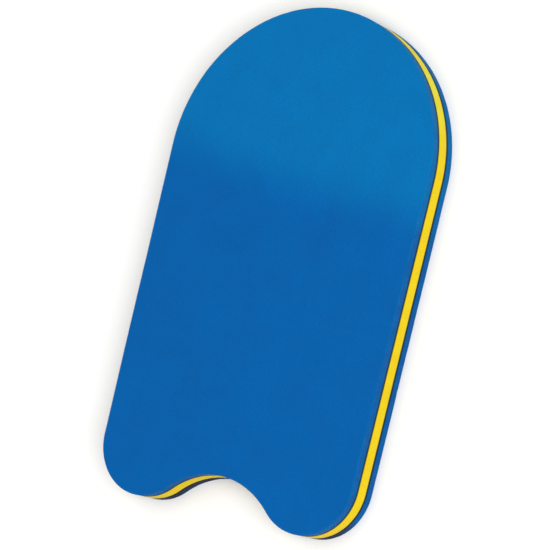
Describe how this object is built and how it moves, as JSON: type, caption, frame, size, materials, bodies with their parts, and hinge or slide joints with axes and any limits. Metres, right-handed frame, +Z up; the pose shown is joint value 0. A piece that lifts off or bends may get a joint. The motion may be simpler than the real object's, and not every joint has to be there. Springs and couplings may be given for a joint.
{
  "type": "kickboard float",
  "caption": "Flat swimming kickboard of laminated closed-cell foam with a round nose, rounded tail lobes and a thumb notch between them.",
  "frame": {"origin": "centre of the outline's box, on the flat face that the board lies on", "axes": "+X across the board, +Y from the notched tail towards the round nose, +Z up through the bonded sheets"},
  "size_m": [0.2898, 0.48, 0.035],
  "materials": {
    "skin_foam": "matte moulded skin of blue closed-cell EVA foam, with cut cells on its edges",
    "core_foam": "matte cut edge of yellow closed-cell EVA foam",
    "bond_film": "thin dark line of cured contact adhesive, slightly glossy"
  },
  "bodies": {
    "root": {"bottom_sheet": "skin_foam", "lower_bond": "bond_film", "core_sheet": "core_foam", "upper_bond": "bond_film", "top_sheet": "skin_foam"}
  },
  "joints": []
}
